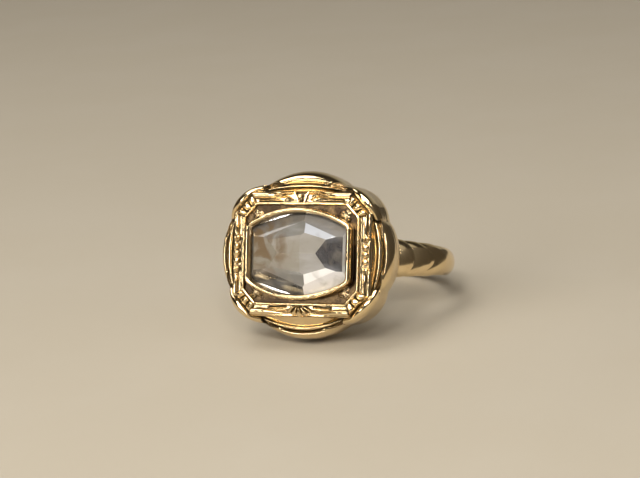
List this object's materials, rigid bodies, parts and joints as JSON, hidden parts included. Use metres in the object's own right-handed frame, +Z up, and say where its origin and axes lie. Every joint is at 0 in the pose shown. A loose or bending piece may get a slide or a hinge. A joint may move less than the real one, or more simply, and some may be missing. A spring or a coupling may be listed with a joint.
{
  "type": "engagement ring",
  "caption": "Antique gold ring with a foil-backed rose-cut stone in a bezel, inside an octagonal reeded frame with a lobed border; scales are carved on its shoulders.",
  "frame": {"origin": "centre of the bounding box at floor level, with the ring lying on its side as it rests on a flat surface", "axes": "+Z up from the floor, +X to the wearer's side along the head's width, and -Y the way that the head faces; the finger's axis leans about 19 degrees from +Z towards +Y"},
  "size_m": [0.0188, 0.0232, 0.0137],
  "materials": {
    "gold": "polished warm 14 carat gold with darker patina in the recesses",
    "stone": "polished facets, clear with a grey cast",
    "foil": "dull silver foil"
  },
  "bodies": {
    "root": {"bezel": "gold", "corner_bar_lower_left": "gold", "corner_bar_lower_right": "gold", "corner_bar_upper_left": "gold", "corner_bar_upper_right": "gold", "face_plate": "gold", "foil_backing": "foil", "granules_left": "gold", "granules_right": "gold", "head_back_plate": "gold", "head_underside": "gold", "head_wall": "gold", "leaf_lower_left": "gold", "leaf_lower_right": "gold", "leaf_upper_left": "gold", "leaf_upper_right": "gold", "lobe_lower_left": "gold", "lobe_lower_right": "gold", "lobe_upper_left": "gold", "lobe_upper_right": "gold", "lunette_inner_left": "gold", "lunette_inner_lower": "gold", "lunette_inner_right": "gold", "lunette_inner_upper": "gold", "lunette_middle_left": "gold", "lunette_middle_lower": "gold", "lunette_middle_right": "gold", "lunette_middle_upper": "gold", "lunette_outer_left": "gold", "lunette_outer_lower": "gold", "lunette_outer_right": "gold", "lunette_outer_upper": "gold", "octagonal_wire": "gold", "palmette_lower": "gold", "palmette_upper": "gold", "rail_left": "gold", "rail_lower": "gold", "rail_right": "gold", "rail_upper": "gold", "shank": "gold", "shoulder_collar_left": "gold", "shoulder_collar_right": "gold", "stone": "stone", "stone_seat": "gold"}
  },
  "joints": []
}
